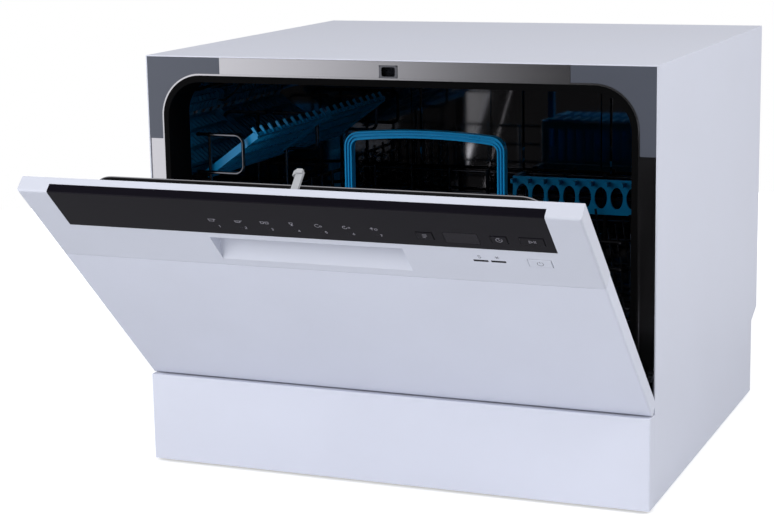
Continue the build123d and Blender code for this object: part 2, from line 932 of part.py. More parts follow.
with BuildPart(door) as control_fascia:
    with Locations((0, 0, fascia_low)):
        Box(2 * fascia_half, fascia_thick, door_length - fascia_low, align=back_from)
    with Locations((0, 0, door_length)):
        Box(2 * fascia_half, fascia_fold, fascia_thick, align=(mid, low, high))
    top_edges = control_fascia.faces().sort_by(outward_axis)[-1].edges().sort_by(upward_axis)
    fillet(top_edges[-1], door_round / 2)
    with BuildSketch(door_at(-1)):
        add(button_holes())
        with Locations(display_spot):
            Rectangle(*display_size)
        with Locations(*lamp_spots):
            Circle(lamp_radius)
    extrude(amount=-(fascia_thick + 2), mode=Mode.SUBTRACT)
save(control_fascia.part, "control_fascia")

with BuildPart(door) as display_window:
    with Locations((display_spot[0], 0, display_spot[1])):
        Box(
            display_size[0] - 2 * window_fit,
            fascia_thick,
            display_size[1] - 2 * window_fit,
            align=(mid, low, mid),
        )


def make_lens(x, up, outline):
    """Light guide from the face of the panel back to its lamp on the board."""
    with BuildPart(door) as lens:
        with BuildSketch(door_at(0)):
            with Locations((x, up)):
                if outline is None:
                    Circle(lamp_radius - lap / 2)
                else:
                    Rectangle(outline[0] - lap, outline[1] - lap)
        extrude(amount=-(board_in - play))
    return lens.part


lenses = [make_lens(x, up, None) for x, up in lamp_spots]
lenses += [make_lens(x, bar_up, bar_size) for x in bar_spots]
save_group([display_window.part] + lenses, "panel_lenses")

switch_height = 1.0
stem_end = board_in - switch_height - button_travel - play
with BuildPart(door) as control_board:
    for x_low, x_high, up_low, up_high in board_spans:
        with Locations(((x_low + x_high) / 2, board_in, up_low)):
            Box(x_high - x_low, board_thick, up_high - up_low, align=back_from)
    for x, up, _, _, _ in button_spots.values():
        with Locations((x, board_in, up)):
            Box(6, switch_height, 6, align=(mid, high, mid))
    with Locations((display_spot[0], board_in, display_spot[1])):
        Box(30, board_in - recess_back - 2 * lap, 14, align=(mid, high, mid))
save(control_board.part, "control_board")


def make_button(x, up, wide, tall, wall_back):
    """Push button: cap through the panel, retaining flange behind it, stem to its switch."""
    flange_in = wall_back + lap
    with BuildPart(door) as button:
        with Locations((x, -button_proud, up)):
            Box(
                wide - 2 * button_fit,
                flange_in + button_proud,
                tall - 2 * button_fit,
                align=(mid, low, mid),
            )
        fillet(button.faces().sort_by(outward_axis)[-1].edges(), 0.4)
        with Locations((x, flange_in, up)):
            Box(wide + 2, 1, tall + 2, align=(mid, low, mid))
        with Locations((x, flange_in, up)):
            Cylinder(2.5, stem_end - flange_in, rotation=(-90, 0, 0), align=stand)
    return button.part


for button_name, spot in button_spots.items():
    save(make_button(*spot), button_name)

# ---------------------------------------------------------------- inside of the door

cup_x = dispenser_x + cup_offset
lid_in = bulge_in + 2 + play
cap_x = dispenser_x + cap_offset
with BuildPart(door) as dispenser_body:
    with Locations((dispenser_x, bulge_in + lap / 2, dispenser_up)):
        Box(2 * flange_half_x, 2 - lap / 2, 2 * flange_half_up, align=(mid, low, mid))
    with Locations((dispenser_x, bulge_in + 1, dispenser_up)):
        Box(2 * well_half_x, cup_depth + 5, 2 * well_half_up, align=(mid, high, mid))
    with Locations((cup_x, bulge_in + 3, dispenser_up)):
        Box(cup_size[0], cup_depth + 3, cup_size[1], align=(mid, high, mid), mode=Mode.SUBTRACT)
    with Locations((cap_x, bulge_in + 3, dispenser_up)):
        Cylinder(cap_radius - 3, 12, rotation=(90, 0, 0), align=stand, mode=Mode.SUBTRACT)
    for side in (-1, 1):
        rail_x = cup_x + side * (lid_size[0] / 2 + play + 1)
        lip_x = cup_x + side * (lid_size[0] / 2 + play)
        with Locations((rail_x, bulge_in + 2, dispenser_up)):
            Box(2, lid_thick + 2 * play + 1, 2 * flange_half_up, align=(mid, low, mid))
        with Locations((lip_x, lid_in + lid_thick + play, dispenser_up)):
            Box(4, 1, 2 * flange_half_up, align=(mid, low, mid))
save(dispenser_body.part, "dispenser_body")

with BuildPart(door) as detergent_lid:
    with Locations((cup_x, lid_in, dispenser_up)):
        Box(lid_size[0], lid_thick, lid_size[1], align=(mid, low, mid))
    with Locations((cup_x, lid_in + lid_thick, dispenser_up - lid_size[1] / 2)):
        Box(40, 2.5, 5, align=(mid, low, low))
save(detergent_lid.part, "detergent_lid")

with BuildPart(door) as rinse_aid_cap:
    with Locations((cap_x, bulge_in + 2 + play, dispenser_up)):
        Cylinder(cap_radius, 2.5, rotation=(-90, 0, 0), align=stand)
        Cylinder(cap_radius - 3 - play, 10, rotation=(90, 0, 0), align=stand)
    with Locations((cap_x, bulge_in + 4, dispenser_up)):
        Box(5, 4, 24, align=(mid, low, mid))
save(rinse_aid_cap.part, "rinse_aid_cap")

hook_high = hook_low + hook_thick
hook_root = liner_in - 1.5
hook_barb = hook_end - hook_nose
hook_plane = Plane(origin=door_corner + upward * hook_low, x_dir=(1, 0, 0), z_dir=upward)
with BuildPart(door) as latch_hook:
    with BuildSketch(hook_plane):
        with BuildLine():
            Polyline(
                (-hook_half, hook_root),
                (-hook_half, hook_barb),
                (-hook_head, hook_barb - 2),
                (-hook_head, hook_end - 3),
                (-hook_half, hook_end),
                (hook_half - 2, hook_end),
                (hook_half, hook_end - 2.5),
                (hook_half, hook_root),
                close=True,
            )
        make_face()
    extrude(amount=hook_thick)
    with BuildSketch(door_beside(0)):
        with BuildLine():
            Polyline(
                (hook_barb, hook_high - 1),
                (hook_barb, hook_high + 2),
                (hook_end - 3, hook_high + 2),
                (hook_end - 0.5, hook_high - 1),
                close=True,
            )
        make_face()
    extrude(amount=hook_half - 0.5, both=True)
    with Locations((0, liner_in - lap, hook_low + 1)):
        Box(24, 1.8, 15, align=(mid, high, mid))
save(latch_hook.part, "latch_hook")

# ---------------------------------------------------------------- rack

loop_gap = 2 * wire + weld_gap
cross_half = rack_half - loop_gap
long_front = rack_front + loop_gap
long_back = rack_back - loop_gap
long_z = rack_floor_z - loop_gap
rim_top = rim_heights[0]


def make_rim(z):
    """Closed rectangular loop of wire around the rack."""
    corners = [
        (-rack_half, rack_front, z),
        (rack_half, rack_front, z),
        (rack_half, rack_back, z),
        (-rack_half, rack_back, z),
    ]
    return bent_wire(corners, rack_round, closed=True)


def make_round(start, end, radius):
    """Straight round bar between two points."""
    with BuildPart() as bar:
        with BuildLine(cabinet) as route:
            Line(start, end)
        with BuildSketch(Plane(origin=route.line @ 0, z_dir=route.line % 0)):
            Circle(radius)
        sweep(path=route.line)
    return bar.part


wires = []
for z in rim_heights:
    wires += make_rim(z)
wire_top = rim_top + 2 * wire
for i in range(wire_count):
    y = wire_first + i * wire_pitch
    ends = [(-cross_half, y, wire_top), (-cross_half, y, rack_floor_z)]
    ends += [(cross_half, y, rack_floor_z), (cross_half, y, wire_top)]
    wires += bent_wire(ends, wire_bend)
for i in range(-4, 5):
    x = i * long_pitch
    ends = [(x, long_front, wire_top), (x, long_front, long_z)]
    ends += [(x, long_back, long_z), (x, long_back, wire_top)]
    wires += bent_wire(ends, wire_bend)

# uprights with their loops, and the rod between them on which the cup shelves hinge
shelf_x = -(cross_half + wire + tine + weld_gap)
for y in shelf_posts:
    post_low = rim_heights[-1] - 2 * wire
    wires.append(make_round((-cross_half, y, post_low), (-cross_half, y, loop_z[1] + wire), wire))
    loop_y = y - loop_gap
    ends = [(loop_x[0], loop_y, loop_z[1]), (loop_x[1], loop_y, loop_z[1])]
    ends += [(loop_x[1], loop_y, loop_z[0]), (loop_x[0], loop_y, loop_z[0])]
    wires += bent_wire(ends, 9)
rod_ends = [(shelf_x, y, shelf_z) for y in (shelf_posts[0] - wire, shelf_posts[-1] + wire)]
wires.append(make_round(*rod_ends, tine))

# plate tines in rows, each row on a base wire along the rack
tine_base_z = rack_floor_z + loop_gap
tine_foot = tine_base_z + wire + play
rows_end = wire_first + (wire_count - 1) * wire_pitch
for x, lean in tine_rows:
    wires.append(make_round((x, wire_first - 5, tine_base_z), (x, rows_end + 5, tine_base_z), wire))
    tip_x = x + tine_height * sin(radians(lean))
    tip_z = tine_foot + tine_height * cos(radians(lean))
    for i in range(wire_count - 1):
        y = wire_first + (i + 0.5) * wire_pitch
        wires.append(make_round((x, y, tine_foot), (tip_x, y, tip_z), tine))
save_group(wires, "rack_basket")


def make_wheel(side, y):
    with BuildPart(cabinet) as wheel:
        with Locations((side * (rack_half + 5), y, wheel_z)):
            Cylinder(wheel_radius, wheel_width, rotation=(0, 90, 0))
            Cylinder(axle_radius + play / 2, 20, rotation=(0, 90, 0), mode=Mode.SUBTRACT)
    return wheel.part


def make_wheel_holder(side, y):
    """Moulded clip on the rack's side wires with the axle of one wheel."""
    clip_x = side * (cross_half + wire + play + clip_thick / 2)
    clip_low = wheel_z - 5
    with BuildPart(cabinet) as holder:
        with Locations((clip_x, y, clip_low)):
            Box(clip_thick, 24, rim_heights[-1] - wire - play - clip_low, align=stand)
        with Locations((side * (rack_half + 5), y, wheel_z)):
            Cylinder(axle_radius, wheel_width + 3, rotation=(0, 90, 0))
        with Locations((side * (rack_half + 10), y, wheel_z)):
            Cylinder(axle_radius + 1.5, 1.2, rotation=(0, 90, 0))
    return holder.part


save_group([make_wheel_holder(s, y) for s in (-1, 1) for y in wheel_spots], "wheel_holders")
save_group([make_wheel(s, wheel_spots[0]) for s in (-1, 1)], "rack_wheels_front")
save_group([make_wheel(s, wheel_spots[1]) for s in (-1, 1)], "rack_wheels_rear")


def make_rail(side):
    """C-shaped guide on the tub wall in which the rack's wheels run."""
    rail_low = wheel_z - wheel_radius - play
    rail_high = wheel_z + wheel_radius + 2 * play
    rail_in = rack_half + 1.2
    rail_span = tub_back - rib_depth - collar_depth - 8
    with BuildPart(cabinet) as rail:
        with Locations((side * (tub_half - 0.6), collar_depth + 3, rail_low - 1.5)):
            Box(1.2, rail_span, rail_high - rail_low + 3, align=back_from)
        for z in (rail_low - 1.5, rail_high):
            with Locations((side * (rail_in + tub_half) / 2, collar_depth + 3, z)):
                Box(tub_half - rail_in, rail_span, 1.5, align=back_from)
    return rail.part


save_group([make_rail(side) for side in (-1, 1)], "rack_rails")

# ---------------------------------------------------------------- in the rack


def make_shelf(y_from, y_to):
    """Ribbed fold-up shelf with prongs along its free edge, tilted about its hinge."""
    tilt = radians(shelf_tilt)
    plane = Plane(
        origin=(shelf_x, front_y + y_from, shelf_z),
        x_dir=(cos(tilt), 0, sin(tilt)),
        z_dir=(-sin(tilt), 0, cos(tilt)),
    )
    span = y_to - y_from
    slats = int(span / 9.5)
    pitch = (span - 3) / slats
    prongs = int((span - 3) / prong_pitch)
    first_prong = (span - prongs * prong_pitch) / 2
    with BuildPart(plane) as shelf:
        for x in (4, 28, 52, shelf_reach - 4):
            with Locations((x, 0, shelf_raise)):
                Box(4, span, 5, align=(mid, low, mid))
        for i in range(slats + 1):
            with Locations((2, i * pitch, shelf_raise)):
                Box(shelf_reach - 2, 3, 4, align=(low, low, mid))
        for y in (0, span - 3):
            with Locations((-2, y, shelf_raise)):
                Box(shelf_reach, 3, 8, align=(low, low, mid))
        for i in range(prongs + 1):
            with Locations((shelf_reach, first_prong + i * prong_pitch, shelf_raise)):
                Box(3, 2.2, prong_height, align=(high, mid, low))
        with Locations((0, span / 2, 0)):
            Cylinder(3.4, span, rotation=(90, 0, 0))
            Cylinder(tine + play, span + 2, rotation=(90, 0, 0), mode=Mode.SUBTRACT)
    return shelf.part


post_clear = wire + 1.5
for shelf_name, post in (("cup_shelf_front", 0), ("cup_shelf_rear", 1)):
    shelf_from = shelf_posts[post] + post_clear
    shelf_to = shelf_posts[post + 1] - loop_gap - post_clear
    save(make_shelf(shelf_from, shelf_to), shelf_name)

rest_top = rest_z + rest_tall / 2
with BuildPart(cabinet) as stem_rest:
    with Locations((rest_x, rest_y, rest_z)):
        Box(rest_length, 3, rest_tall)
    with BuildSketch(across(rest_y)):
        with Locations((rest_x, rest_z - 1)):
            with GridLocations(rest_pitch, 1, rest_slots, 1):
                Ellipse(*rest_slot)
    extrude(amount=10, both=True, mode=Mode.SUBTRACT)
    for i in range(rest_slots + 1):
        tooth_x = rest_x + (i - rest_slots / 2) * rest_pitch
        with Locations((tooth_x, rest_y, rest_top - 7)):
            Box(3, rest_tooth, 5, align=(mid, high, low))
    for side in (-1, 1):
        with Locations((rest_x + side * (rest_length / 2 - 2.5), rest_y, rest_top - 16)):
            Box(5, long_back - wire - play - rest_y, 16, align=back_from)
save(stem_rest.part, "stem_rest")

basket_mid = basket_front + basket_depth / 2
basket_low = rack_floor_z + wire + play
slots_z = (basket_low + basket_high) / 2
basket_rail = basket_high - 40


def handle_face(inset, foot_z):
    """Arched outline of the handle, drawn in from its outside."""
    half = handle_half - inset
    shoulder = handle_top - inset - handle_arch
    with BuildSketch() as face:
        with BuildLine():
            Line((-half, foot_z), (-half, shoulder))
            ThreePointArc((-half, shoulder), (0, handle_top - inset), (half, shoulder))
            Line((half, shoulder), (half, foot_z))
            Line((half, foot_z), (-half, foot_z))
        make_face()
        fillet(face.vertices().group_by(Axis.Y)[-1], 16 - inset)
    return face.sketch


with BuildPart(cabinet) as cutlery_basket:
    with Locations((0, basket_front, basket_low)):
        Box(2 * basket_half, basket_depth, basket_high - basket_low, align=back_from)
    fillet(cutlery_basket.edges().filter_by(Axis.Z), 6)
    with Locations((0, basket_front + basket_wall, basket_low + basket_wall)):
        Box(
            2 * (basket_half - basket_wall),
            basket_depth - 2 * basket_wall,
            basket_high,
            align=back_from,
            mode=Mode.SUBTRACT,
        )
    with BuildSketch(across(basket_mid)):
        with Locations((0, slots_z)):
            with GridLocations(*slot_pitch, 12, 2):
                Rectangle(*slot_size)
    extrude(amount=basket_depth, both=True, mode=Mode.SUBTRACT)
    with BuildSketch(beside(0)):
        with Locations((basket_mid, slots_z)):
            with GridLocations(*slot_pitch, 6, 2):
                Rectangle(*slot_size)
    extrude(amount=2 * basket_half, both=True, mode=Mode.SUBTRACT)
    with BuildSketch(level(basket_low)):
        with Locations((0, basket_mid)):
            with GridLocations(mesh_pitch, mesh_pitch, 10, 5):
                Rectangle(mesh, mesh)
    extrude(amount=2 * basket_wall, both=True, mode=Mode.SUBTRACT)
    with Locations((0, basket_mid, basket_low)):
        Box(2 * basket_half - 2, 2, basket_high - basket_low - 6, align=stand)
    with BuildSketch(across(basket_mid - handle_depth / 2)):
        add(handle_face(0, basket_rail))
        add(handle_face(handle_width, basket_rail - 5), mode=Mode.SUBTRACT)
    extrude(amount=-handle_depth)
    groove_width = (handle_width - 3 * handle_flange) / 2
    for inset in (handle_flange, 2 * handle_flange + groove_width):
        with BuildSketch(across(basket_mid - handle_depth / 2)):
            add(handle_face(inset, basket_high))
            add(handle_face(inset + groove_width, basket_high - 5), mode=Mode.SUBTRACT)
        extrude(amount=-handle_groove, mode=Mode.SUBTRACT)
save(cutlery_basket.part, "cutlery_basket")


def make_basket_lid(back):
    """Lattice flap over half of the basket, hinged on its outer edge."""
    clear = 6
    span = basket_depth / 2 - clear - 1
    y_from = basket_mid + clear if back else basket_front + 1
    with BuildPart(cabinet) as lid:
        with Locations((0, y_from, basket_high + play)):
            Box(2 * (basket_half - 11), span, 2.4, align=back_from)
        with BuildSketch(level(basket_high)):
            with Locations((0, y_from + span / 2)):
                with GridLocations(14, 13, 10, 3):
                    Rectangle(11, 10)
        extrude(amount=10, mode=Mode.SUBTRACT)
    return lid.part


save(make_basket_lid(False), "basket_lid_front")
save(make_basket_lid(True), "basket_lid_rear")

# ---------------------------------------------------------------- washing system

with BuildPart(cabinet) as spray_hub:
    with Locations((0, arm_y, feed_low)):
        Cylinder(hub_radius, arm_low - play - feed_low, align=stand)
    with Locations((0, arm_y, tub_floor_z)):
        Cylinder(hub_radius + 6, 4, align=stand)
    with Locations((0, arm_y, feed_low + 2)):
        Cylinder(20, 12, align=stand)
    with Locations((0, arm_y, feed_low)):
        Cylinder(hub_bore, 60, align=stand, mode=Mode.SUBTRACT)
    with Locations((0, arm_y, arm_low - play)):
        Cylinder(pivot_radius, arm_high - arm_low, align=stand)
        Cylinder(hub_radius - 1, 1.5, align=(mid, mid, high))
save(spray_hub.part, "spray_hub")

with BuildPart(cabinet) as spray_arm:
    with BuildSketch(level(arm_low)):
        with Locations((0, arm_y)):
            Circle(24)
        for side in (-1, 1):
            with BuildLine():
                Polyline(
                    (0, arm_y - 21),
                    (side * (arm_reach - 14), arm_y - 13),
                    (side * (arm_reach - 14), arm_y + 13),
                    (0, arm_y + 21),
                    close=True,
                )
            make_face()
        with Locations((14 - arm_reach, arm_y), (arm_reach - 14, arm_y)):
            Circle(13)
    extrude(amount=9)
    fillet(spray_arm.edges().group_by(Axis.Z)[-1], 3)
    with Locations((0, arm_y, arm_low)):
        Cylinder(arm_hub, arm_high - arm_low + 2, align=stand)
    with Locations((0, arm_y, arm_low - 1)):
        Cylinder(pivot_radius + play, arm_high - arm_low + 1, align=stand, mode=Mode.SUBTRACT)
    with Locations(*[(x, arm_y + 4, arm_low + 9) for x in jets]):
        Cylinder(jet_radius, 6, mode=Mode.SUBTRACT)
save(spray_arm.part, "spray_arm")

with BuildPart(cabinet) as sump:
    with Locations((*filter_spot, sump_low)):
        Cylinder(sump_radius, tub_floor_z - tub_sheet - sump_low, align=stand)
    with Locations((*filter_spot, sump_low + moulding)):
        Cylinder(sump_radius - moulding, 100, align=stand, mode=Mode.SUBTRACT)
    with Locations((filter_spot[0], filter_spot[1] + sump_radius - 2, pump_z)):
        Cylinder(pipe, 20, rotation=(-90, 0, 0), align=stand)
save(sump.part, "sump")

with BuildPart(cabinet) as microfilter_plate:
    with Locations((*filter_spot, tub_floor_z)):
        Cylinder(filter_hole + 12, 1, align=stand)
        Cylinder(cup_radius + play, 10, mode=Mode.SUBTRACT)
    for ring, holes in ((40, 28), (47, 32), (54, 38)):
        with Locations((*filter_spot, tub_floor_z)):
            with PolarLocations(ring, holes):
                Cylinder(1.6, 10, mode=Mode.SUBTRACT)
save(microfilter_plate.part, "microfilter_plate")

with BuildPart(cabinet) as filter_cup:
    with Locations((*filter_spot, cup_low)):
        Cylinder(cup_radius, tub_floor_z + 2 - cup_low, align=stand)
    with Locations((*filter_spot, tub_floor_z + 1 + play)):
        Cylinder(cup_radius + 3, 2, align=stand)
    with Locations((*filter_spot, cup_low + cup_wall)):
        Cylinder(cup_radius - cup_wall, 100, align=stand, mode=Mode.SUBTRACT)
    for turned in (0, 90):
        with Locations(Location((*filter_spot, tub_floor_z + 1), (0, 0, turned))):
            Box(2 * cup_radius, 4, 7, align=stand)
save(filter_cup.part, "filter_cup")

with BuildPart(cabinet) as softener:
    with Locations((-206, 130, tray_floor + 8)):
        Box(112, 140, 80, align=stand)
    fillet(softener.edges().filter_by(Axis.Z), 12)
    with Locations((*salt_spot, tray_floor + 80)):
        Cylinder(salt_neck, tub_floor_z - tray_floor - 80 + 2, align=stand)
    with Locations((*salt_spot, tray_floor + 12)):
        Cylinder(salt_neck - 5, 200, align=stand, mode=Mode.SUBTRACT)
    with Locations((-206, 80, tray_floor), (-206, 180, tray_floor)):
        Box(90, 10, 9, align=stand)
save(softener.part, "softener")

with BuildPart(cabinet) as salt_cap:
    with Locations((*salt_spot, tub_floor_z + 2 + play)):
        Cylinder(salt_neck + 2, 6, align=stand)
        Cylinder(salt_neck - 5 - play, 12, align=(mid, mid, high))
    with Locations((*salt_spot, tub_floor_z + 7)):
        Box(2 * salt_neck - 4, 6, 5, align=stand)
save(salt_cap.part, "salt_cap")

with BuildPart(cabinet) as wash_pump:
    with Locations((0, pump_y, pump_z)):
        Cylinder(38, 36, rotation=(0, 90, 0))
    with Locations((0, arm_y, pump_z)):
        Cylinder(pipe, feed_low - pump_z, align=stand)
    with Locations((18, pump_y, pump_z)):
        Cylinder(31, 92, rotation=(0, 90, 0), align=stand)
    with Locations((-18, pump_y, pump_z)):
        Cylinder(pipe, 16, rotation=(0, -90, 0), align=stand)
    with Locations((0, pump_y, tray_floor), (90, pump_y, tray_floor)):
        Box(12, 30, pump_z - 28 - tray_floor, align=stand)
save(wash_pump.part, "wash_pump")

drain_y = filter_spot[1]
with BuildPart(cabinet) as drain_pump:
    with Locations((-44.5, drain_y, 55)):
        Cylinder(22, 26, rotation=(0, 90, 0), align=stand)
        Cylinder(18, 70, rotation=(0, 90, 0), align=stand)
    with Locations((-32, drain_y - 16, 48)):
        Cylinder(8, 20, rotation=(90, 0, 0), align=stand)
    with Locations((-20, drain_y, tray_floor)):
        Box(12, 20, 30, align=stand)
save(drain_pump.part, "drain_pump")

suction = hose_along(
    [
        (-34.5, pump_y, pump_z),
        (filter_spot[0], pump_y, pump_z),
        (filter_spot[0], filter_spot[1] + sump_radius + 18.5, pump_z),
    ],
    pipe,
    22,
)
drain_hose = hose_along(
    [
        (-32, drain_y - 36.5, 48),
        (-32, 100, 48),
        (150, 100, 48),
        (150, 400, 48),
        (drain_x, 400, drain_z),
        (drain_x, tray_back - 22.5, drain_z),
    ],
    8,
    14,
)
fill_hose = hose_along(
    [
        (inlet_x, tray_back - 40.5, inlet_z),
        (inlet_x, 375, inlet_z),
        (inlet_x, 375, inlet_z + 32),
        (-263, 375, inlet_z + 32),
        (-263, 375, 129.5),
    ],
    5,
    14,
)
softener_hose = hose_along(
    [(-263, 235, 129.5), (-263, 235, 80), (-225, 235, 80), (-225, 200.5, 80)], 5, 15
)
save_group([suction, drain_hose, fill_hose, softener_hose], "inner_hoses")

with BuildPart(cabinet) as air_break:
    with Locations((-262.5, 210, 130)):
        Box(19, 190, 260, align=back_from)
    fillet(air_break.edges().filter_by(Axis.X), 14)
    with Locations((-tub_half - tub_sheet - lap, 300, 340)):
        Cylinder(16, 4, rotation=(0, -90, 0), align=stand)
save(air_break.part, "air_break")

# ---------------------------------------------------------------- rear connections

wall_y = depth - back_step
with BuildPart(cabinet) as inlet_valve:
    with Locations((inlet_x, wall_y, inlet_z)):
        Cylinder(inlet_radius, inlet_length, rotation=(-90, 0, 0), align=stand)
    with Locations((inlet_x, wall_y - sheet - lap, inlet_z)):
        Cylinder(inlet_radius, sheet + lap, rotation=(-90, 0, 0), align=stand)
        Box(34, 26, 34, align=(mid, high, mid))
    with Locations((inlet_x, wall_y - 15, inlet_z + 17)):
        Cylinder(9, 24, align=stand)
    with Locations((inlet_x, wall_y - sheet - lap - 26, inlet_z)):
        Cylinder(6, 14, rotation=(90, 0, 0), align=stand)
    with Locations((inlet_x, wall_y + inlet_length + 1, inlet_z)):
        Cylinder(8, 12, rotation=(90, 0, 0), align=stand, mode=Mode.SUBTRACT)
save(inlet_valve.part, "inlet_valve")

with BuildPart(cabinet) as drain_spigot:
    with Locations((drain_x, wall_y, drain_z)):
        Cylinder(drain_radius, drain_length, rotation=(-90, 0, 0), align=stand)
    with Locations((drain_x, wall_y - sheet - lap, drain_z)):
        Cylinder(drain_radius, sheet + lap, rotation=(-90, 0, 0), align=stand)
        Box(32, 5, 30, align=(mid, high, mid))
        Cylinder(9, 22, rotation=(90, 0, 0), align=stand)
    with Locations((drain_x, wall_y + drain_length + 1, drain_z)):
        Cylinder(7, 60, rotation=(90, 0, 0), align=stand, mode=Mode.SUBTRACT)
save(drain_spigot.part, "drain_spigot")

with BuildPart(cabinet) as cable_gland:
    with Locations((gland_x, wall_y + 2, gland_z)):
        Box(34, 2, 28, align=(mid, high, mid))
    with Locations((gland_x, wall_y, gland_z)):
        Box(23.4, 14, 17.4, align=(mid, high, mid))
    with Locations((gland_x, wall_y + 1, gland_z)):
        Cylinder(6.5, 6, rotation=(-90, 0, 0), align=stand)
    with Locations((gland_x, wall_y, gland_z)):
        Cylinder(4, 60, rotation=(90, 0, 0), mode=Mode.SUBTRACT)
save(cable_gland.part, "cable_gland")


def make_screw(x, z, y):
    """Pan-head screw driven forward through the back panel."""
    with BuildPart(cabinet) as screw:
        with Locations((x, y, z)):
            Cylinder(3.6, 2, rotation=(-90, 0, 0), align=stand)
        fillet(screw.edges().sort_by(Axis.Y)[-1], 1)
        with Locations((x, y + 2.5, z)):
            Box(0.8, 2, 4.5, align=(mid, high, mid), mode=Mode.SUBTRACT)
            Box(4.5, 2, 0.8, align=(mid, high, mid), mode=Mode.SUBTRACT)
    return screw.part


screw_spots = [(x, z, depth) for x in (-267, 267) for z in (130, 280, 425)]
screw_spots += [(x, z, wall_y) for x in (-262, 262) for z in (20,)]
save_group([make_screw(*spot) for spot in screw_spots], "back_screws")
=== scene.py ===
"""Looks for the countertop dishwasher: materials, printed symbols, studio and camera."""

import json
from math import cos, radians, sin

import bmesh
import bpy
from mathutils import Matrix, Vector


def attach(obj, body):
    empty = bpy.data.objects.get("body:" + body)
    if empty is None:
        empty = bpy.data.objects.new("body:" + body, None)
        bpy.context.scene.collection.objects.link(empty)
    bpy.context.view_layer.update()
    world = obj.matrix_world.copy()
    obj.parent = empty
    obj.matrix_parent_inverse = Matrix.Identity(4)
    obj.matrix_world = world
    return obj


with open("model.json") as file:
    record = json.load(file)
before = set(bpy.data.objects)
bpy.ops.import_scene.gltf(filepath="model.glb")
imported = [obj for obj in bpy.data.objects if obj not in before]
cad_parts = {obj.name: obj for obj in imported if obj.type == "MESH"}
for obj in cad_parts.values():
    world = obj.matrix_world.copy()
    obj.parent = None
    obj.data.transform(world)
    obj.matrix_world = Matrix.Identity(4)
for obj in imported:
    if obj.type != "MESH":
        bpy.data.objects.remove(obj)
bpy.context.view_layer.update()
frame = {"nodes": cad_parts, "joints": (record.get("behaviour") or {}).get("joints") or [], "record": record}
nodes = frame["nodes"]
record = frame["record"]
joints = {joint["name"]: joint for joint in frame["joints"]}
MM = 0.001

# ---------------------------------------------------------------- camera

PHOTO_WIDTH = 774
FOCAL_PIXELS = 1901.6
SENSOR = 36
CAMERA_PLACE = Vector((0.7212, -1.8687, 0.6157))
YAW, PITCH, ROLL = -0.39288, -0.19879, -0.01844


def aim_camera():
    """Camera with the position and angle of the photograph."""
    data = bpy.data.cameras.new("photo_camera")
    data.sensor_width = SENSOR
    data.lens = SENSOR * FOCAL_PIXELS / PHOTO_WIDTH
    camera = bpy.data.objects.new("photo_camera", data)
    bpy.context.scene.collection.objects.link(camera)
    forward = Vector((sin(YAW) * cos(PITCH), cos(YAW) * cos(PITCH), sin(PITCH)))
    right = forward.cross(Vector((0, 0, 1))).normalized()
    up = right.cross(forward)
    turned = (right * cos(ROLL) + up * sin(ROLL), up * cos(ROLL) - right * sin(ROLL), -forward)
    camera.matrix_world = Matrix.Translation(CAMERA_PLACE) @ Matrix(turned).transposed().to_4x4()
    bpy.context.scene.camera = camera


aim_camera()

# ---------------------------------------------------------------- the door's own frame

PIVOT_IN = 4.5 * MM  # hinge pin behind the door's face
PIVOT_UP = 7.5 * MM  # hinge pin above the door's lower edge
door_turn = radians(-joints["door_hinge"]["range_deg"][0])
inward = Vector((0, cos(door_turn), sin(door_turn)))
upward = Vector((0, -sin(door_turn), cos(door_turn)))
door_corner = Vector(joints["door_hinge"]["pos_m"]) - inward * PIVOT_IN - upward * PIVOT_UP


def on_door(x, up, out=0.0):
    """Point at x and a height up the door, in mm, standing out of its face by out mm."""
    return door_corner + (Vector((x, 0, 0)) + upward * up - inward * out) * MM


# ---------------------------------------------------------------- materials


def srgb(r, g, b):
    """Linear colour of 8-bit screen values."""
    linear = [
        (c / 255 / 12.92) if c <= 10 else ((c / 255 + 0.055) / 1.055) ** 2.4 for c in (r, g, b)
    ]
    return (*linear, 1)


def new_material(name):
    material = bpy.data.materials.new(name)
    material.use_nodes = True
    tree = material.node_tree
    shader = tree.nodes["Principled BSDF"]
    place = tree.nodes.new("ShaderNodeTexCoord").outputs["Object"]
    return material, tree, shader, place


def noise(tree, place, scale, detail=3, stretch=(1, 1, 1)):
    mapping = tree.nodes.new("ShaderNodeMapping")
    mapping.inputs["Scale"].default_value = stretch
    tree.links.new(place, mapping.inputs["Vector"])
    texture = tree.nodes.new("ShaderNodeTexNoise")
    texture.inputs["Scale"].default_value = scale
    texture.inputs["Detail"].default_value = detail
    tree.links.new(mapping.outputs["Vector"], texture.inputs["Vector"])
    return texture.outputs["Fac"]


def ranged(tree, value, low, high):
    node = tree.nodes.new("ShaderNodeMapRange")
    node.inputs["From Min"].default_value = 0.3
    node.inputs["From Max"].default_value = 0.7
    node.inputs["To Min"].default_value = low
    node.inputs["To Max"].default_value = high
    tree.links.new(value, node.inputs["Value"])
    return node.outputs["Result"]


def mixed(tree, value, dark, light):
    node = tree.nodes.new("ShaderNodeMix")
    node.data_type = "RGBA"
    node.inputs["A"].default_value = dark
    node.inputs["B"].default_value = light
    tree.links.new(ranged(tree, value, 0, 1), node.inputs["Factor"])
    return node.outputs["Result"]


def bump(tree, shader, value, strength, depth):
    node = tree.nodes.new("ShaderNodeBump")
    node.inputs["Strength"].default_value = strength
    node.inputs["Distance"].default_value = depth
    tree.links.new(value, node.inputs["Height"])
    tree.links.new(node.outputs["Normal"], shader.inputs["Normal"])


def scaled(colour, by):
    return (*[min(1, c * by) for c in colour[:3]], 1)


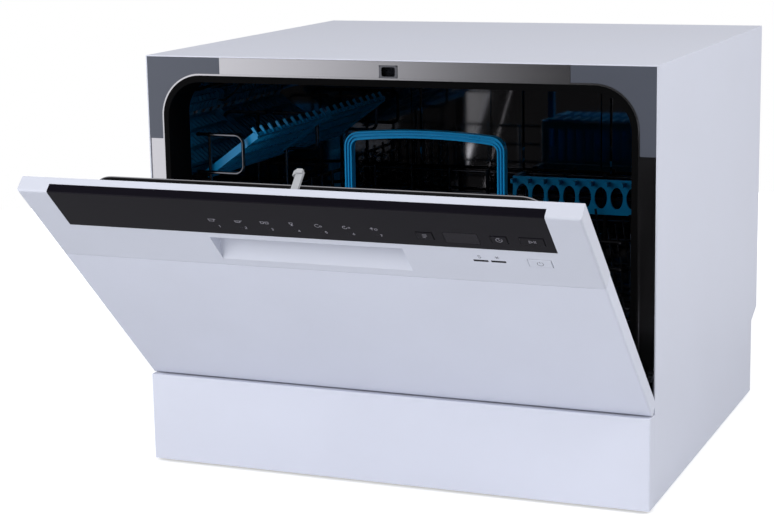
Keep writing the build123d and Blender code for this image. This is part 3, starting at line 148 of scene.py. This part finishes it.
def surface(
    name,
    colour,
    rough=0.4,
    spread=0.03,
    metal=0.0,
    coat=0.0,
    tone=0.03,
    grain=900,
    relief=0.05,
    stretch=(1, 1, 1),
    cloud=12,
    transmission=0.0,
    specular=0.5,
):
    """Principled material with clouded colour, uneven gloss and a fine relief."""
    material, tree, shader, place = new_material(name)
    clouds = noise(tree, place, cloud, stretch=stretch)
    fine = noise(tree, place, grain, detail=2, stretch=stretch)
    tree.links.new(
        mixed(tree, clouds, scaled(colour, 1 - tone), scaled(colour, 1 + tone)),
        shader.inputs["Base Color"],
    )
    tree.links.new(ranged(tree, clouds, rough - spread, rough + spread), shader.inputs["Roughness"])
    bump(tree, shader, fine, relief, 0.0002)
    shader.inputs["Metallic"].default_value = metal
    shader.inputs["Coat Weight"].default_value = coat
    shader.inputs["Coat Roughness"].default_value = 0.08
    shader.inputs["Transmission Weight"].default_value = transmission
    shader.inputs["Specular IOR Level"].default_value = specular
    return material


ALONG_X = (0.02, 1, 1)
WHITE = srgb(212, 215, 228)

looks = {
    "white_enamel": surface("white_enamel", WHITE, rough=0.42, tone=0.012, grain=700, relief=0.04),
    "white_plastic": surface(
        "white_plastic", srgb(204, 207, 219), rough=0.36, tone=0.01, grain=1800, relief=0.03
    ),
    "black_gloss": surface(
        "black_gloss", srgb(18, 16, 23), rough=0.3, specular=0.16, tone=0.06, relief=0.01
    ),
    "dark_window": surface("dark_window", srgb(24, 22, 29), rough=0.14, specular=0.25, relief=0.0),
    "grey_plastic": surface("grey_plastic", srgb(80, 84, 95), rough=0.32, grain=2200, relief=0.1),
    "stainless": surface(
        "stainless", srgb(206, 205, 208), rough=0.14, metal=1, grain=1400, relief=0.05, stretch=ALONG_X
    ),
    "zinc_steel": surface("zinc_steel", srgb(160, 162, 168), rough=0.42, metal=1, tone=0.12, cloud=60),
    # chrome_wire: base colour kept far darker than real chrome, as painted shade standing in for the dim reflections
    # the wires catch inside the tub
    "chrome_wire": surface("chrome_wire", srgb(132, 133, 139), rough=0.16, metal=1, relief=0.01),
    "blue_plastic": surface("blue_plastic", srgb(10, 130, 186), rough=0.3, coat=0.1, tone=0.05),
    "clear_plastic": surface("clear_plastic", srgb(206, 208, 212), rough=0.3, transmission=0.35),
    "black_plastic": surface("black_plastic", srgb(34, 34, 37), rough=0.5, grain=2200, relief=0.12),
    "black_rubber": surface("black_rubber", srgb(9, 9, 10), rough=0.7, specular=0.08, grain=1500, relief=0.1),
    "grey_moulding": surface("grey_moulding", srgb(150, 153, 158), rough=0.42, grain=2000, relief=0.08),
    "felt": surface("felt", srgb(46, 46, 48), rough=0.95, grain=500, relief=0.6, cloud=90, tone=0.2),
    "board_green": surface("board_green", srgb(30, 92, 52), rough=0.35, tone=0.1, cloud=200),
}
for row in record["subparts"]:
    mesh = nodes[row["node"]].data
    mesh.materials.clear()
    mesh.materials.append(looks[row["material_slot"]])

# Tub steel: a smooth mirror finish, with a base colour darker than the front's stainless as painted shade, so that the
# inside of the tub goes dark after a few reflections
mirror = surface(
    "tub_steel", srgb(180, 179, 181), rough=0.045, spread=0.02, metal=1, relief=0.01, cloud=8, tone=0.08
)
for name in ("tub_wrapper", "tub_back_wall", "tub_floor", "door_liner", "rack_rails"):
    nodes[name].data.materials[0] = mirror

# ---------------------------------------------------------------- printed symbols

PRINT_THICK = 0.05  # mm
PRINT_LINE = 0.5


def arc(x, y, radius, start, end, steps=14):
    angles = [radians(start + (end - start) * i / steps) for i in range(steps + 1)]
    return [(x + radius * cos(a), y + radius * sin(a)) for a in angles]


def ring(x, y, radius):
    return arc(x, y, radius, 0, 360, 18)


DIGITS = {
    "1": [[(-0.3, 0.6), (0.2, 1), (0.2, -1)]],
    "2": [arc(0, 0.45, 0.55, 160, -30, 8) + [(-0.6, -1), (0.65, -1)]],
    "3": [arc(0, 0.5, 0.5, 150, -80, 8), arc(0, -0.45, 0.55, 80, -150, 8)],
    "4": [[(0.35, -1), (0.35, 1), (-0.6, -0.4), (0.7, -0.4)]],
    "5": [[(0.5, 1), (-0.45, 1), (-0.5, 0.15)] + arc(-0.05, -0.35, 0.62, 110, -140, 8)],
    "6": [[(0.3, 1), (-0.35, 0.1)] + arc(0, -0.4, 0.58, 150, -210, 12)],
    "7": [[(-0.55, 1), (0.55, 1), (-0.15, -1)]],
}
SYMBOLS = {
    "pot": [[(-1.6, 0.6), (-1.3, -0.9), (0.9, -0.9), (1.2, 0.6), (-1.6, 0.6)], [(1.2, 0.5), (2, 0.5)]],
    "pan": [[(-1.6, 0.3), (-1.2, -0.8), (0.8, -0.8), (1.1, 0.3), (-1.6, 0.3)], [(1.1, 0.2), (2, 0.6)]],
    "cups": [
        [(-1.9, 0.7), (-1.7, -0.7), (-0.5, -0.7), (-0.3, 0.7), (-1.9, 0.7)],
        [(0.3, 0.7), (0.5, -0.7), (1.7, -0.7), (1.9, 0.7), (0.3, 0.7)],
    ],
    "glass": [[(-0.8, 1.2), (-0.5, 0), (0.5, 0), (0.8, 1.2), (-0.8, 1.2)], [(0, 0), (0, -1)], [(-0.6, -1), (0.6, -1)]],
    "plate": [arc(-0.6, 0, 1.1, 40, 320), ring(0.9, -0.3, 0.45)],
    "quick": [arc(-0.5, 0, 1, 60, 350), [(-0.5, 0), (-0.5, 0.6)], [(0.9, 0.2), (1.9, 0.2)], [(0.9, -0.4), (1.9, -0.4)]],
    "rinse": [[(-1.7, 0), (-0.9, 0.8), (-0.1, 0)], [(-0.9, 0.8), (-0.9, -1)], ring(0.9, -0.3, 0.6)],
    "list": [[(-0.9, 0.8), (0.9, 0.8)], [(-0.9, 0), (0.9, 0)], [(-0.9, -0.8), (0.2, -0.8)]],
    "clock": [arc(0, 0, 1.1, 70, 400), [(0, 0.6), (0, 0), (0.5, -0.2)]],
    "start": [[(-1.2, 0.8), (0.2, 0), (-1.2, -0.8), (-1.2, 0.8)], [(0.8, 0.8), (0.8, -0.8)], [(1.4, 0.8), (1.4, -0.8)]],
    "power": [arc(0, -0.1, 1, 120, 420), [(0, 0.2), (0, 1.1)]],
    "softening": [arc(0, 0.45, 0.5, 20, 270), arc(0, -0.5, 0.5, 90, -160)],
    "star": [[(-0.9, 0), (0.9, 0)], [(-0.5, 0.8), (0.5, -0.8)], [(0.5, 0.8), (-0.5, -0.8)]],
}


def line_sides(points, half):
    """Points to the left and right of an open or closed line, joined at its corners."""
    closed = (Vector(points[0]) - Vector(points[-1])).length < 1e-6
    dots = [Vector(p) for p in (points[:-1] if closed else points)]
    count = len(dots)
    sides = []
    for i, dot in enumerate(dots):
        before = dots[i - 1] if i or closed else None
        after = dots[(i + 1) % count] if i < count - 1 or closed else None
        into = (dot - before).normalized() if before else None
        away = (after - dot).normalized() if after else None
        along = ((into or away) + (away or into)).normalized()
        normal = Vector((-along.y, along.x))
        straight = normal.dot(Vector((-(into or away).y, (into or away).x)))
        reach = half / max(0.5, straight)
        sides.append((dot + normal * reach, dot - normal * reach))
    return sides, closed


def add_line(bm, points, place, size, base, width=PRINT_LINE):
    """Thin raised line on the door; points are in units of size, around a place."""
    sides, closed = line_sides([(x * size, y * size) for x, y in points], width / 2)
    rings = []
    for left, right in sides:
        corners = [(left, PRINT_THICK), (right, PRINT_THICK), (right, -0.02), (left, -0.02)]
        rings.append(
            [bm.verts.new(on_door(place[0] + p.x, place[1] + p.y, base + out)) for p, out in corners]
        )
    pairs = list(zip(rings, rings[1:]))
    if closed:
        pairs.append((rings[-1], rings[0]))
    else:
        bm.faces.new(rings[0])
        bm.faces.new(list(reversed(rings[-1])))
    for first, second in pairs:
        for i in range(4):
            j = (i + 1) % 4
            bm.faces.new((first[j], first[i], second[i], second[j]))


def print_symbols(name, marks, ink, body):
    """One piece of printed marks: each is lines, place, size and the surface's height."""
    bm = bmesh.new()
    for lines, place, size, base in marks:
        for points in lines:
            add_line(bm, points, place, size, base)
    bmesh.ops.recalc_face_normals(bm, faces=bm.faces)
    mesh = bpy.data.meshes.new(name)
    bm.to_mesh(mesh)
    bm.free()
    mesh.materials.append(ink)
    piece = bpy.data.objects.new(name, mesh)
    bpy.context.scene.collection.objects.link(piece)
    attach(piece, body)


pale_ink = surface("pale_ink", srgb(150, 148, 158), rough=0.5)
dark_ink = surface("dark_ink", srgb(92, 94, 104), rough=0.5)
LAMP_FIRST, LAMP_PITCH, LAMP_UP = -82.5, 26.8, 297.5
SYMBOL_UP = 307.5
SYMBOL_SIZE = 2.1
DIGIT_SIZE = 1.5
programmes = ("pot", "pan", "cups", "glass", "plate", "quick", "rinse")
marks = []
for i, programme in enumerate(programmes):
    x = LAMP_FIRST + i * LAMP_PITCH
    marks.append((SYMBOLS[programme], (x, SYMBOL_UP), SYMBOL_SIZE, 0))
    marks.append((DIGITS[str(i + 1)], (x + 4.5, LAMP_UP), DIGIT_SIZE, 0))
print_symbols("programme_symbols", marks, pale_ink, "door")
BAR_SYMBOL_UP = 272.5
bar_marks = [
    (SYMBOLS["softening"], (168, BAR_SYMBOL_UP), 2.3, 0),
    (SYMBOLS["star"], (184.5, BAR_SYMBOL_UP), 2.3, 0),
]
print_symbols("indicator_symbols", bar_marks, dark_ink, "door")
BUTTON_PROUD = 0.4
for button, symbol, place, size, ink in (
    ("button_program", "list", (125, 301.5), 2.4, pale_ink),
    ("button_delay", "clock", (193.8, 301.5), 2.6, pale_ink),
    ("button_start", "start", (223.8, 301.5), 2.2, pale_ink),
    ("button_power", "power", (223.2, 267.3), 2.8, dark_ink),
):
    print_symbols(
        button.replace("button", "symbol"), [(SYMBOLS[symbol], place, size, BUTTON_PROUD)], ink, button
    )

# ---------------------------------------------------------------- studio

WORLD_LIGHT = 0.5
WINDOW_SIDE = (-0.8, -0.6, 0)
WINDOW_FADE = (0.8, 0.92, 0.02, 1.12)  # cosines of the angle to it, and strengths
BEHIND_FADE = (0.3, 0.8, 0, 0.7)
ROOM_COLOUR = (0.96, 0.96, 1, 1)
FLOOR_RADIUS = 1.8
FLOOR_FADE = (0.6, 1.6, 0.5, 1)  # distances, and strengths of its own glow
NEAR_FLOOR = 0.4  # how bright metal sees the floor around the part
NEAR_FADE = (0.6, 1.1, 0, 1)  # distances over which the room takes over from it


def faded(tree, value, fade):
    """Value eased from one range to another; fade is from low, from high, to low, to high."""
    node = tree.nodes.new("ShaderNodeMapRange")
    node.interpolation_type = "SMOOTHSTEP"
    for key, limit in zip(("From Min", "From Max", "To Min", "To Max"), fade):
        node.inputs[key].default_value = limit
    tree.links.new(value, node.inputs["Value"])
    return node.outputs["Result"]


def vector_math(tree, operation, value, other=None):
    node = tree.nodes.new("ShaderNodeVectorMath")
    node.operation = operation
    tree.links.new(value, node.inputs[0])
    if other:
        node.inputs[1].default_value = other
    return node


def math(tree, operation, first, second):
    """Math node on two sockets or numbers."""
    node = tree.nodes.new("ShaderNodeMath")
    node.operation = operation
    for value, socket in zip((first, second), node.inputs):
        if isinstance(value, (int, float)):
            socket.default_value = value
        else:
            tree.links.new(value, socket)
    return node.outputs[0]


def mirrored_room(tree, direction):
    """How bright metal sees the room: a window on the left, a dark right, a pale back."""
    window = vector_math(tree, "DOT_PRODUCT", direction, WINDOW_SIDE).outputs["Value"]
    behind = vector_math(tree, "DOT_PRODUCT", direction, (0, 1, 0)).outputs["Value"]
    return math(tree, "MAXIMUM", faded(tree, window, WINDOW_FADE), faded(tree, behind, BEHIND_FADE))


def choose_by_ray(tree, base, choices):
    """Shader that is base, but another for each named kind of ray.

    Light that has already left a dull surface meets the base shader, so that bright metal
    passes it on into the tub.
    """
    rays = tree.nodes.new("ShaderNodeLightPath")
    straight = math(tree, "LESS_THAN", rays.outputs["Diffuse Depth"], 0.5)
    for ray, shader in choices:
        mix = tree.nodes.new("ShaderNodeMixShader")
        tree.links.new(math(tree, "MULTIPLY", rays.outputs[ray], straight), mix.inputs["Fac"])
        tree.links.new(base, mix.inputs[1])
        tree.links.new(shader, mix.inputs[2])
        base = mix.outputs[0]
    return base


def make_studio():
    """Plain white background, soft light, and the room that metal sees."""
    world = bpy.data.worlds.new("studio")
    bpy.context.scene.world = world
    world.use_nodes = True
    tree = world.node_tree
    tree.nodes.clear()
    grounds = {}
    for name, colour, strength in (
        ("seen", (1, 1, 1, 1), 1),
        ("lit", (0.97, 0.98, 1, 1), WORLD_LIGHT),
        ("mirrored", ROOM_COLOUR, 1),
    ):
        grounds[name] = tree.nodes.new("ShaderNodeBackground")
        grounds[name].inputs["Color"].default_value = colour
        grounds[name].inputs["Strength"].default_value = strength
    direction = tree.nodes.new("ShaderNodeTexCoord").outputs["Generated"]
    tree.links.new(mirrored_room(tree, direction), grounds["mirrored"].inputs["Strength"])
    seen = grounds["seen"].outputs[0]
    choices = (
        ("Is Glossy Ray", grounds["mirrored"].outputs[0]),
        ("Is Transmission Ray", seen),
        ("Is Camera Ray", seen),
    )
    output = tree.nodes.new("ShaderNodeOutputWorld")
    result = choose_by_ray(tree, grounds["lit"].outputs[0], choices)
    tree.links.new(result, output.inputs["Surface"])


def make_lamp(name, place, target, size, power):
    """Soft lamp that bright metal doesn't show, as it sees the room's window in its place."""
    data = bpy.data.lights.new(name, "AREA")
    data.shape = "RECTANGLE"
    data.size, data.size_y = size
    data.energy = power
    lamp = bpy.data.objects.new(name, data)
    lamp.location = place
    lamp.rotation_mode = "QUATERNION"
    lamp.rotation_quaternion = (Vector(target) - Vector(place)).to_track_quat("-Z", "Y")
    lamp.visible_glossy = False
    bpy.context.scene.collection.objects.link(lamp)


def make_floor():
    """Round white floor that keeps the shadow and fades into the background."""
    mesh = bpy.data.meshes.new("floor")
    bm = bmesh.new()
    bmesh.ops.create_circle(bm, cap_ends=True, segments=96, radius=FLOOR_RADIUS)
    bm.to_mesh(mesh)
    bm.free()
    floor = bpy.data.objects.new("floor", mesh)
    floor.location.z = -0.0005
    bpy.context.scene.collection.objects.link(floor)
    material = bpy.data.materials.new("floor_white")
    material.use_nodes = True
    tree = material.node_tree
    shader = tree.nodes["Principled BSDF"]
    shader.inputs["Base Color"].default_value = (0.82, 0.83, 0.85, 1)
    shader.inputs["Roughness"].default_value = 0.9
    place = tree.nodes.new("ShaderNodeTexCoord").outputs["Object"]
    glow = tree.nodes.new("ShaderNodeEmission")
    distance = vector_math(tree, "LENGTH", place).outputs["Value"]
    tree.links.new(faded(tree, distance, FLOOR_FADE), glow.inputs["Strength"])
    total = tree.nodes.new("ShaderNodeAddShader")
    tree.links.new(shader.outputs[0], total.inputs[0])
    tree.links.new(glow.outputs[0], total.inputs[1])
    room = tree.nodes.new("ShaderNodeEmission")
    room.inputs["Color"].default_value = ROOM_COLOUR
    outward = vector_math(tree, "NORMALIZE", place).outputs["Vector"]
    far = faded(tree, distance, NEAR_FADE)
    near = math(tree, "MULTIPLY", math(tree, "SUBTRACT", 1, far), NEAR_FLOOR)
    beyond = math(tree, "MULTIPLY", mirrored_room(tree, outward), far)
    tree.links.new(math(tree, "ADD", near, beyond), room.inputs["Strength"])
    choices = (
        ("Is Glossy Ray", room.outputs[0]),
        ("Is Camera Ray", total.outputs[0]),
        ("Is Transmission Ray", total.outputs[0]),
    )
    result = choose_by_ray(tree, shader.outputs[0], choices)
    tree.links.new(result, tree.nodes["Material Output"].inputs["Surface"])
    mesh.materials.append(material)


make_studio()
make_floor()
make_lamp("key", (-1.5, -2.4, 1.5), (0, 0, 0.2), (2.0, 1.6), 61)
make_lamp("side", (2.4, -0.3, 1.9), (0.2, 0, 0.35), (1.6, 1.4), 35)
bpy.context.scene.view_settings.view_transform = "Standard"
